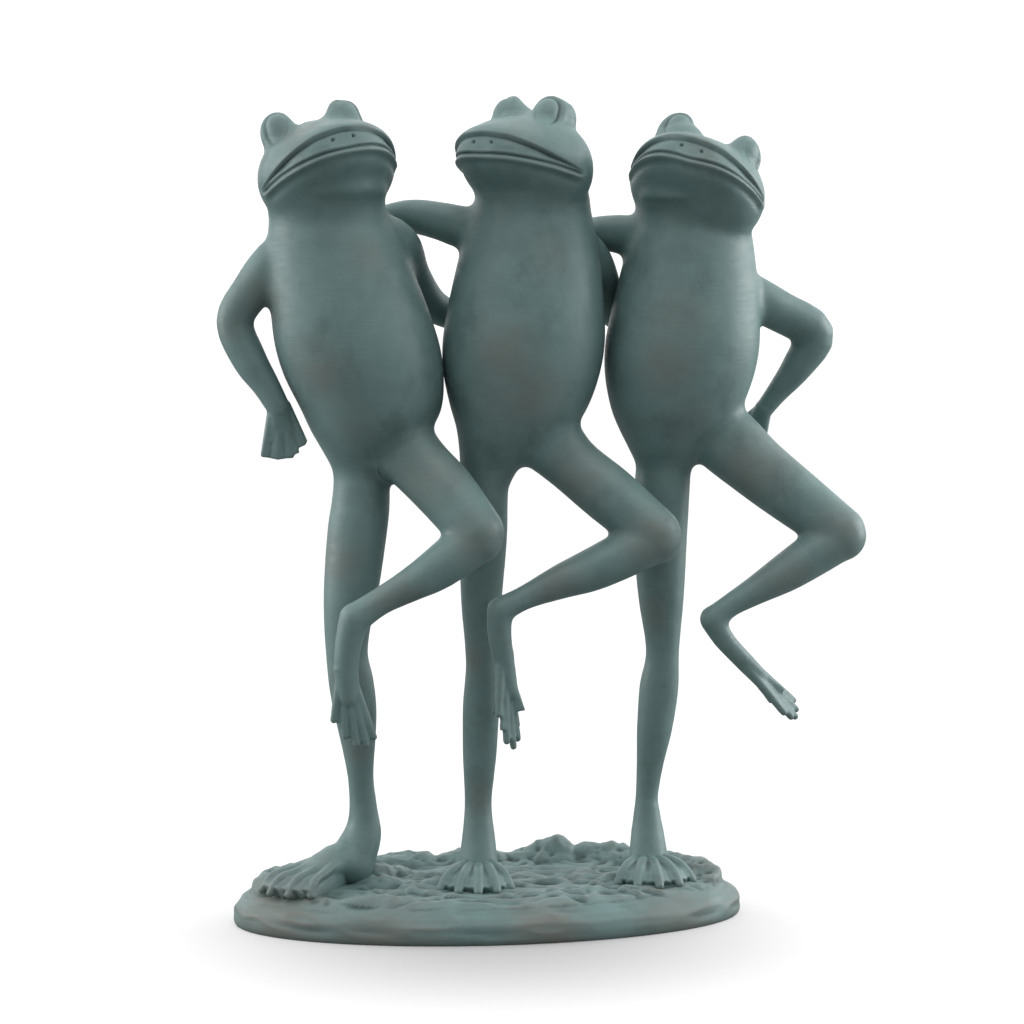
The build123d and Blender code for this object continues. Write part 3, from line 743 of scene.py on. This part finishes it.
muzzle = {  # heights of the mouth and of the band over it, by degrees round the head
    "angles": (0, 20, 40, 60, 75, 85, 95),
    "band": (10.6, 9.6, 6.8, 4.0, 2.7, 2.0, 1.6),
    "mouth": (0.0, 0.0, -0.4, -1.0, -1.8, -2.4, -2.8),
    "axis": 4.0, "skewFade": 10.0, "corner": 92.0, "cornerFade": 7.0, "hollow": 1.9, "visor": 0.75,
    "curl": 0.7,
    "lips": [(-0.9, 0.0, 0.6), (0.3, 1.4, 0.8), (1.0, -1.7, 0.95), (-0.6, -4.4, 1.7)],  # height, place, width
    "nostril": (5.2, 5.6, 0.8, 1.2),  # place, width, depth
}
eyes = {
    "looking": (23.0, 23.0), "raised": 0.28, "lift": 3.6, "half": 5.9, "tall": 1.3, "deep": 2.1,
    "recess": 1.3, "lid": 0.6,
}


# Finishes

patinaLook = {
    "Ground": (0.115, 0.193, 0.188, 1), "Pale": (0.165, 0.262, 0.257, 1), "Rub": (0.15, 0.165, 0.15, 1),
    # Dark serves the stains and the darkened hollows, which are partly painted shade
    "Dark": (0.03, 0.055, 0.055, 1), "Rubbing": 0.5, "Gloss": 0.5,
}


def setInputs(node, values):
    for key, value in values.items():
        node.inputs[key].default_value = value
    return node


def startMaterial(name):
    material = bpy.data.materials.new(name)
    material.use_nodes = True
    tree = material.node_tree
    return material, tree.nodes, tree.links, tree.nodes["Principled BSDF"]


def mapRange(nodes, low, high, to=(0, 1)):
    made = nodes.new("ShaderNodeMapRange")
    made.interpolation_type = "SMOOTHSTEP"
    return setInputs(made, {"From Min": low, "From Max": high, "To Min": to[0], "To Max": to[1]})


def makeVerdigris(name, look):
    material, nodes, links, shader = startMaterial(name)
    patina = nodes.new("ShaderNodeGroup")
    patina.node_tree = patinaGroup
    setInputs(patina, look)
    links.new(patina.outputs["Colour"], shader.inputs["Base Color"])
    links.new(patina.outputs["Roughness"], shader.inputs["Roughness"])
    bump = setInputs(nodes.new("ShaderNodeBump"), {"Strength": 0.35, "Distance": 0.0006})
    links.new(patina.outputs["Height"], bump.inputs["Height"])
    links.new(bump.outputs["Normal"], shader.inputs["Normal"])
    setInputs(shader, {"Specular IOR Level": 0.45})
    return material


def makePatinaGroup():
    # painted patina: teal ground, brown rub on what stands out, dark hollows that are partly patina in the
    # recesses and partly painted shade, brushing and pits
    group = bpy.data.node_groups.new("verdigrisPatina", "ShaderNodeTree")
    for label, value in patinaLook.items():
        kind = "NodeSocketFloat" if isinstance(value, float) else "NodeSocketColor"
        group.interface.new_socket(label, in_out="INPUT", socket_type=kind).default_value = value
    for label, kind in (("Colour", "NodeSocketColor"), ("Roughness", "NodeSocketFloat"),
                        ("Height", "NodeSocketFloat")):
        group.interface.new_socket(label, in_out="OUTPUT", socket_type=kind)
    nodes, links = group.nodes, group.links
    given = nodes.new("NodeGroupInput")
    out = nodes.new("NodeGroupOutput")
    place = nodes.new("ShaderNodeTexCoord")

    def cloud(scale, detail, stretch=(1, 1, 1), rough=0.55):
        mapping = setInputs(nodes.new("ShaderNodeMapping"), {"Scale": stretch})
        links.new(place.outputs["Object"], mapping.inputs["Vector"])
        made = nodes.new("ShaderNodeTexNoise")
        setInputs(made, {"Scale": scale, "Detail": detail, "Roughness": rough})
        links.new(mapping.outputs["Vector"], made.inputs["Vector"])
        return made.outputs["Fac"]

    def spread(value, low, high, to=(0, 1)):
        made = mapRange(nodes, low, high, to)
        links.new(value, made.inputs["Value"])
        return made.outputs["Result"]

    def maths(kind, a, b):
        made = nodes.new("ShaderNodeMath")
        made.operation = kind
        for socket, value in zip(made.inputs, (a, b)):
            if isinstance(value, float):
                socket.default_value = value
            else:
                links.new(value, socket)
        return made.outputs[0]

    def tint(colour, mask, share, shade):
        made = nodes.new("ShaderNodeMix")
        made.data_type = "RGBA"
        links.new(maths("MULTIPLY", mask, share), made.inputs["Factor"])
        links.new(colour, made.inputs["A"])
        links.new(given.outputs[shade], made.inputs["B"])
        return made.outputs["Result"]

    def trait(label):
        made = nodes.new("ShaderNodeAttribute")
        made.attribute_name = label
        return made.outputs["Fac"]

    drift = spread(cloud(22, 3), 0.35, 0.68)
    stain = spread(cloud(38, 5, (1, 1, 0.6), 0.65), 0.5, 0.72)
    mottle = spread(cloud(95, 4), 0.4, 0.68)
    brush = cloud(260, 3, (0.35, 0.35, 2.6))
    pits = spread(cloud(900, 2), 0.66, 0.75)
    colour = tint(given.outputs["Ground"], drift, 0.45, "Pale")
    colour = tint(colour, mottle, 0.4, "Pale")
    colour = tint(colour, stain, 0.36, "Dark")
    rubArea = maths("MULTIPLY", trait("worn"), spread(cloud(45, 3), 0.3, 0.7, (0.45, 1.0)))
    rubbed = maths("MULTIPLY", maths("ADD", rubArea, maths("MULTIPLY", trait("edge"), 0.5)),
                   given.outputs["Rubbing"])
    rubbed = maths("MULTIPLY", rubbed, spread(brush, 0.3, 0.7, (0.7, 1.0)))
    colour = tint(colour, rubbed, 1.0, "Rub")
    # the hollows darkened: partly patina gathered in the recesses, partly painted shade in place of occlusion
    colour = tint(colour, trait("hollow"), 0.9, "Dark")
    links.new(colour, out.inputs["Colour"])
    rough = maths("ADD", given.outputs["Gloss"], spread(brush, 0.2, 0.8, (-0.06, 0.08)))
    links.new(rough, out.inputs["Roughness"])
    height = maths("SUBTRACT", maths("MULTIPLY", brush, 0.5), maths("MULTIPLY", pits, 0.6))
    links.new(height, out.inputs["Height"])
    return group


def makeZinc():
    material, nodes, links, shader = startMaterial("zincPlatedSteel")
    place = nodes.new("ShaderNodeTexCoord")
    grain = setInputs(nodes.new("ShaderNodeTexNoise"), {"Scale": 420, "Detail": 3})
    links.new(place.outputs["Object"], grain.inputs["Vector"])
    tone = nodes.new("ShaderNodeValToRGB")
    tone.color_ramp.elements[0].color = (0.34, 0.35, 0.36, 1)
    tone.color_ramp.elements[1].color = (0.62, 0.63, 0.64, 1)
    links.new(grain.outputs["Fac"], tone.inputs["Fac"])
    links.new(tone.outputs["Color"], shader.inputs["Base Color"])
    setInputs(shader, {"Metallic": 1.0, "Roughness": 0.38})
    return material


patinaGroup = makePatinaGroup()
finishes = {
    "verdigris_casting": makeVerdigris("verdigrisCasting", {"Rubbing": 0.7, "Gloss": 0.46}),
    "verdigris_base": makeVerdigris("verdigrisBase", {"Rubbing": 0.95, "Gloss": 0.52}),
    "zinc_steel": makeZinc(),
}


seamSizes = {
    "neckReach": 18, "hipReach": 7, "ankleReach": 15,
    "thigh": (28, -0.4), "arm": (27, 0.3),  # radius round the root, and least place across the torso
    "bodyLap": 0.7, "limbLap": -0.15,
}
voxels = {
    "body": 0.75, "head": 0.5, "standing_leg": 0.75, "standing_foot": 0.5, "raised_leg": 0.65, "arm": 0.55,
}


def planeSeam(at, reach):
    # a level seam, only within reach of a point
    at = Vector(at)

    def seam(bm, cut):
        near = [face for face in bm.faces if (face.calc_center_median() - at).length < reach]
        markCut(bm, near, at, upward, cut)

    return seam


def limbSeam(frog, spots, lap):
    # the body reaches a little past the limb's edge, so no slit shows between the two
    return lambda bm, cut: cutContour(bm, cut, outsideTorso(frog), bodySizes["limbSeam"] + lap, spots)


def rootSpot(station, kind, side):
    radius, least = seamSizes[kind]
    return ((*station[:3], radius), side, least)


def buildFrog(name, frog):
    mass = frogMass(name, frog)
    print(name, "frog mass", len(mass.polygons), "faces")
    node = name + "_frog_"
    hipX, hipRadius = frog["hip"]
    neckX, neckZ, neckRadius = frog["neck"]
    neckAt = (neckX, frog["depth"] - bodySizes["neckAhead"], neckZ)
    neck = planeSeam(neckAt, neckRadius + seamSizes["neckReach"])
    hip = planeSeam((hipX, frog["depth"], bodySizes["hipSeam"]), hipRadius + seamSizes["hipReach"])
    ankle = planeSeam((*frog["heel"][:2], bodySizes["ankleSeam"]), seamSizes["ankleReach"])
    thighSpot = rootSpot(frog["thigh"][1], "thigh", 1)
    armSpots = {}
    for armName, arm in armsOf(name).items():
        shoulder = arm["chain"][1]
        armSpots[armName] = rootSpot(shoulder, "arm", math.copysign(1, shoulder[0] - neckX))
    roots = limbSeam(frog, [thighSpot, *armSpots.values()], seamSizes["bodyLap"])
    thighRoot = limbSeam(frog, [thighSpot], seamSizes["limbLap"])
    crown = Vector(frog["head"]) + Vector((0, 0, 30))
    footParts = standingFootParts(name, frog)

    def face(skin):
        carveHead(frog, skin)

    pieces = {  # seams, a point on the piece that is kept, what is added, what is carved
        "body": ([neck, hip, roots], (neckX, -40, 290), (), face),
        "head": ([neck], crown, (), face),
        "standing_leg": ([hip, ankle], frog["standingLeg"][3][:3], (), None),
        "standing_foot": ([ankle], frog["instep"][:3], footParts, None),
        "raised_leg": ([hip, thighRoot], frog["shin"][0][:3], raisedFootParts(frog), None),
    }
    for kind, recipe in pieces.items():
        skin = takePiece(mass, node + kind, voxels[kind], *recipe)
        dress(node + kind + "_skin", skin, "verdigris_casting")
    for armName, arm in armsOf(name).items():
        seams = [limbSeam(frog, [armSpots[armName]], seamSizes["limbLap"]), neck]
        recipe = (seams, arm["chain"][3][:3], handParts(armName, arm), None)
        skin = takePiece(mass, armName, voxels["arm"], *recipe)
        dress(armName + "_skin", skin, "verdigris_casting")
    bpy.data.meshes.remove(mass)


for frogName, frogSizes in frogs.items():
    buildFrog(frogName, frogSizes)

for node in ("foot_screws", "foot_washers"):
    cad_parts[node].data.materials.clear()
    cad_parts[node].data.materials.append(finishes["zinc_steel"])


# Base

baseSizes = {
    "halfLength": 127, "halfWidth": 64, "top": 18, "sink": 0.4, "lumpFoot": 15, "voxel": 0.92,
    # the rim's outline: height, and how far in from the half-sizes
    "outside": [(18, 14), (16, 8), (13, 3.4), (9.5, 0.9), (5.5, 0), (2.5, 0.3), (0, 1.2)],
    "inside": [(0, 5), (7.8, 6.5), (13, 14)],
    "lumps": [  # x, y, half-length, half-width, height, turn in degrees
        (-30, 10, 18, 5, 3, 35), (39, 44, 13, 9, 13.2, -20),
        (64, 41, 24, 9, 9.6, -13), (50, 6, 16, 6, 3.4, 62),
        (106, -6, 13, 6, 3.2, -70), (-58, -40, 20, 5, 3, -14),
        (34, -36, 22, 5.5, 3.4, 14), (-42, -14, 12, 5, 3.2, 80),
        (30, -8, 12, 5, 3, -40), (-55, 10, 12, 9, 8.5, 20),
        (-55, -4, 17, 7, 5.4, -12), (-46, 16, 14, 8, 5, -10),
        (62, -8, 11, 7, 5, 30), (-24, -6, 12, 7, 5, 20)],
    "bankLumps": 9, "bankSweep": (12, 170), "bankInset": 19, "bank": (21, 9.5, 7.2),
    "boss": (8, 9, 14),  # radius, from and to this height
    "folds": [  # crisp folds in the mud: x, y along each
        [(58, -22), (66, -31), (76, -36), (86, -38), (95, -35)],
        [(48, -14), (56, -24), (62, -34), (70, -42)],
        [(-34, -20), (-30, -30), (-20, -38), (-8, -40), (4, -38), (12, -31)],
        [(10, -38), (22, -40), (36, -45), (44, -50)],
        [(-112, -28), (-102, -34), (-92, -37), (-82, -34)],
        [(100, -26), (108, -20), (113, -10)],
        [(-60, -20), (-52, -26), (-44, -26)]],
}


def mudLumps():
    lumps = list(baseSizes["lumps"])
    start, end = baseSizes["bankSweep"]
    a, b, inset = baseSizes["halfLength"], baseSizes["halfWidth"], baseSizes["bankInset"]
    for i in range(baseSizes["bankLumps"]):
        angle = math.radians(start + (end - start) * i / (baseSizes["bankLumps"] - 1))
        turn = math.degrees(math.atan2(b * math.cos(angle), -a * math.sin(angle)))
        long, wide, high = baseSizes["bank"]
        lumps.append(((a - inset) * math.cos(angle), (b - inset) * math.sin(angle), long,
                      wide + math.cos(1.7 * i), high + 0.8 * math.sin(2.4 * i), turn))
    return lumps


def mudBase():
    bm = bmesh.new()
    a, b = baseSizes["halfLength"], baseSizes["halfWidth"]
    closeRings(bm, [ringAt(bm, Vector((0, 0, z)), upward, a - inset, b - inset, backward, roundness["rim"])
                    for z, inset in baseSizes["outside"] + baseSizes["inside"]])
    for x, y, long, wide, high, turn in mudLumps():
        lump = bmesh.new()
        ball(lump, Vector((x, y, baseSizes["top"] - baseSizes["sink"])), (long, wide, high),
             Matrix.Rotation(math.radians(turn), 3, "Z"))
        bmesh.ops.bisect_plane(lump, geom=wholeOf(lump), plane_co=upward * baseSizes["lumpFoot"],
                               plane_no=upward, clear_inner=True)
        closeRims(lump)
        joinInto(bm, lump)
    radius, low, high = baseSizes["boss"]
    for frog in frogs.values():
        heel, sole = frog["heel"], frog["standingLeg"][-1]
        x, y = (heel[0] + sole[0]) / 2, (heel[1] + sole[1]) / 2
        closeRings(bm, [ringAt(bm, Vector((x, y, z)), upward, radius, radius, backward, roundness["boss"])
                        for z in (low, high)])
    return bm


mudSizes = {
    "rimShare": 0.86, "rimFoot": 2.5, "rimTop": 20.5, "rimFade": 4, "rimDepth": 0.75,
    "topFoot": 14.5, "topInset": (11, 10), "topEnd": 1.06, "topFade": 0.16,
    "knobsFrom": 18.6, "knobsFade": 2,
    "flow": ((1.5, 23, 9.5, 0), (0.55, 12, 5.2, 5)),  # height, length, width, noise level
    "knobs": ((1.5, 6.5), (0.8, 3.2)),  # height, size
    "foldRidge": (0, 19, 1.5, 1.5), "foldHollow": (-3.2, 18.2, -0.7, 1.8),  # shift, z, height, width
}


def fold(x, y, z):
    # about -1 to 1, highest along thin winding lines
    return 1 - 2.6 * abs(noise.noise(Vector((x, y, z))))


def drapeRim(co, normals):
    # long shallow folds that run down over the outside of the rim
    a, b = baseSizes["halfLength"], baseSizes["halfWidth"]
    foot, top, fade = mudSizes["rimFoot"], mudSizes["rimTop"], mudSizes["rimFade"]
    outer = (np.hypot(co[:, 0] / a, co[:, 1] / b) > mudSizes["rimShare"]) & (co[:, 2] > foot)
    outer &= (np.einsum("ij,ij->i", normals[:, :2], co[:, :2]) > -20.0) & (normals[:, 2] > -0.2)
    for i in np.nonzero(outer)[0]:
        x, y, z = co[i]
        share = min((z - foot) / fade, 1) * min(max((top - z) / fade, 0), 1)
        hollow = 1 - fold((x + 1.6 * z) / 27, y / 20, z / 8.5 + 2.0)
        co[i] -= normals[i] * mudSizes["rimDepth"] * share * hollow


def mudSurface(skin):
    # flowing folds over the top, knobbly lumps along the back, and folds over the rim
    co = skin["co"]
    normals = normalsOf(skin)
    drapeRim(co, normals)
    a, b = [baseSizes[half] - inset for half, inset in zip(("halfLength", "halfWidth"), mudSizes["topInset"])]
    for i in np.nonzero((co[:, 2] > mudSizes["topFoot"]) & (normals[:, 2] > 0.1))[0]:
        x, y, z = co[i]
        edge = mudSizes["topEnd"] - math.hypot(x / a, y / b)
        amount = min(max(edge / mudSizes["topFade"], 0), 1)
        rough = min(max((z - mudSizes["knobsFrom"]) / mudSizes["knobsFade"], 0), 1)
        if amount <= 0 and rough <= 0:
            continue
        warp = noise.noise_vector(Vector((x / 26, y / 22, 3.0)))
        u, v = x + 9 * warp.x, y + 7 * warp.y
        flow = sum(high * fold(u / long, v / wide, level) for high, long, wide, level in mudSizes["flow"])
        knobs = sum(high * noise.noise(Vector(co[i] / size)) for high, size in mudSizes["knobs"])
        co[i, 2] += amount * flow * (1 - 0.5 * rough) + knobs * rough
    for path in baseSizes["folds"]:
        for shift, z, height, width in (mudSizes["foldRidge"], mudSizes["foldHollow"]):
            carve(skin, [(x, y + shift, z) for x, y in path], height, width)
    relax(skin, 1, 0.35)


def buildBase():
    skin = readSkin(remesh(mudBase(), baseSizes["voxel"]))
    relax(skin, 3)
    fillCreases(skin, 6)
    mudSurface(skin)
    bm = bmesh.new()
    bm.from_mesh(writeSkin(skin))
    dress("base_skin", bm, "verdigris_base")


buildBase()


# Stage, light and camera

stageSizes = {
    "floor": 6.0, "lamp": 0.8, "lampsAimAt": (0, 0, 0.2),
    "lamps": {"leftBox": ((-1.2, 0.2, 0.45), 6.5), "rightBox": ((1.2, 0.1, 0.5), 10),
              "topBox": ((0.1, -0.6, 1.5), 2.8)},
    # the oval round the base where the floor's glow is painted darker, as a painted shadow
    "paintedShadow": {"middle": (0, 0.28, 0), "squeeze": (5.2, 5.6, 0), "from": (0.05, 1.1), "glow": (0.2, 0.7)},
    "sky": {"darkSide": (0, -0.94, -0.34), "from": (0.95, 0.0), "glow": (0.26, 1.22)},
}


def makeStage():
    bm = bmesh.new()
    bmesh.ops.create_grid(bm, x_segments=1, y_segments=1, size=stageSizes["floor"])
    floor = addObject("floor", meshOf(bm, "floor"))
    floor.data.materials.append(makeFloor())
    makeSky()
    target = Vector(stageSizes["lampsAimAt"])
    for label, (at, power) in stageSizes["lamps"].items():
        lamp = bpy.data.lights.new(label, "AREA")
        lamp.size = stageSizes["lamp"]
        lamp.energy = power
        made = addObject(label, lamp)
        made.location = at
        made.rotation_euler = (target - Vector(at)).to_track_quat("-Z", "Y").to_euler()


def makeFloor():
    # white paper that glows white, with a painted soft shadow in front of the base, dull in what it throws
    # back at the frogs
    material, nodes, links, seen = startMaterial("paleFloor")
    paintedShadow = stageSizes["paintedShadow"]
    place = nodes.new("ShaderNodeTexCoord")
    oval = nodes.new("ShaderNodeMapping")
    setInputs(oval, {"Location": paintedShadow["middle"], "Scale": paintedShadow["squeeze"]})
    links.new(place.outputs["Object"], oval.inputs["Vector"])
    away = nodes.new("ShaderNodeVectorMath")
    away.operation = "LENGTH"
    links.new(oval.outputs["Vector"], away.inputs[0])
    # the glow is turned down near the base: a painted shadow, not one cast by the lamps
    glow = mapRange(nodes, *paintedShadow["from"], paintedShadow["glow"])
    links.new(away.outputs["Value"], glow.inputs["Value"])
    setInputs(seen, {"Base Color": (0.3, 0.3, 0.3, 1), "Roughness": 0.9, "Specular IOR Level": 0.0,
                     "Emission Color": (1, 1, 1, 1)})
    links.new(glow.outputs["Result"], seen.inputs["Emission Strength"])
    dull = setInputs(nodes.new("ShaderNodeBsdfDiffuse"), {"Color": (0.22, 0.23, 0.23, 1)})
    path = nodes.new("ShaderNodeLightPath")
    choice = nodes.new("ShaderNodeMixShader")
    links.new(path.outputs["Is Camera Ray"], choice.inputs["Fac"])
    links.new(dull.outputs[0], choice.inputs[1])
    links.new(seen.outputs[0], choice.inputs[2])
    links.new(choice.outputs[0], nodes["Material Output"].inputs["Surface"])
    return material


def makeSky():
    # a light tent with the dark of the room behind the camera
    sky = stageSizes["sky"]
    world = bpy.data.worlds.new("lightTent")
    world.use_nodes = True
    nodes, links = world.node_tree.nodes, world.node_tree.links
    place = nodes.new("ShaderNodeTexCoord")
    toDark = nodes.new("ShaderNodeVectorMath")
    toDark.operation = "DOT_PRODUCT"
    setInputs(toDark, {1: sky["darkSide"]})
    links.new(place.outputs["Generated"], toDark.inputs[0])
    glow = mapRange(nodes, *sky["from"], sky["glow"])
    links.new(toDark.outputs["Value"], glow.inputs["Value"])
    links.new(glow.outputs["Result"], nodes["Background"].inputs["Strength"])
    setInputs(nodes["Background"], {"Color": (1, 1, 1, 1)})
    bpy.context.scene.world = world


# fitted to the base's oval and the frogs' heights: degrees and metres, and the picture's sizes in pixels
cameraSizes = {
    "azimuth": -8.0, "pitch": 5.81, "away": 1.6, "aside": 0.0115, "height": 0.365,
    "focalPixels": 3276, "widePixels": 1024, "sensor": 36.0,
}


def makeCamera():
    azimuth, pitch = math.radians(cameraSizes["azimuth"]), math.radians(cameraSizes["pitch"])
    right = Vector((math.cos(azimuth), math.sin(azimuth), 0))
    ahead = Vector((-math.sin(azimuth), math.cos(azimuth), 0))
    data = bpy.data.cameras.new("camera")
    data.sensor_width = cameraSizes["sensor"]
    data.lens = cameraSizes["sensor"] * cameraSizes["focalPixels"] / cameraSizes["widePixels"]
    camera = addObject("camera", data)
    spot = right * cameraSizes["aside"] - ahead * cameraSizes["away"]
    camera.location = spot + upward * cameraSizes["height"]
    look = ahead * math.cos(pitch) - upward * math.sin(pitch)
    camera.rotation_euler = look.to_track_quat("-Z", "Y").to_euler()
    bpy.context.scene.camera = camera


makeStage()
makeCamera()
bpy.context.scene.view_settings.view_transform = "Standard"
